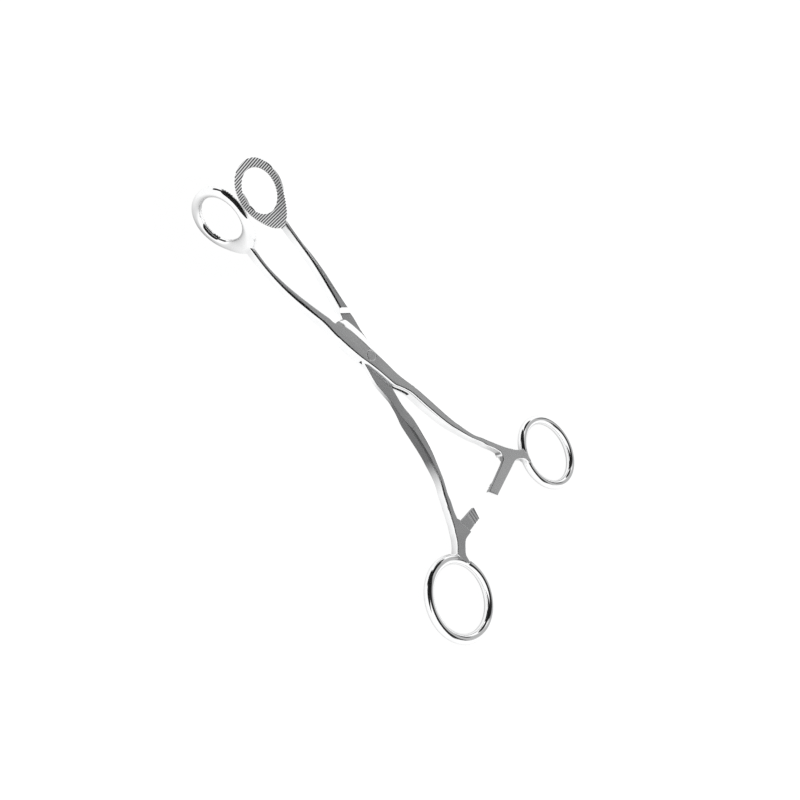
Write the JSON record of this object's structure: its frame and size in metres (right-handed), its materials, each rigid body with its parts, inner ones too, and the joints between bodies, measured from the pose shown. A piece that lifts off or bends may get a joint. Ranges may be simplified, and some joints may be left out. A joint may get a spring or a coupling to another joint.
{
  "type": "oval jaw forceps",
  "caption": "Ring-handled locking forceps with open oval serrated jaws, crossed shanks on a riveted box lock and a toothed ratchet between the finger rings.",
  "frame": {"origin": "on the rivet's axis, at the rear face of the box lock", "axes": "+Y toward the jaws, +Z along the rivet from the rear face to the front face, +X toward the box half's finger ring"},
  "size_m": [0.1132, 0.1899, 0.0274],
  "materials": {
    "box_half_steel": "satin flats, mirror polished jaw and ring",
    "tenon_half_steel": "satin flats, mirror polished jaw and ring",
    "rivet_steel": "ground flush, satin"
  },
  "bodies": {
    "box_half": {"box_half": "box_half_steel", "pivot_rivet": "rivet_steel"},
    "tenon_half": {"tenon_half": "tenon_half_steel"}
  },
  "joints": [
    {"name": "lock_pivot", "type": "hinge", "parent": "box_half", "child": "tenon_half", "pos_m": [0, 0, 0], "axis": [0, 0, 1], "range_deg": [-5, 15]}
  ]
}
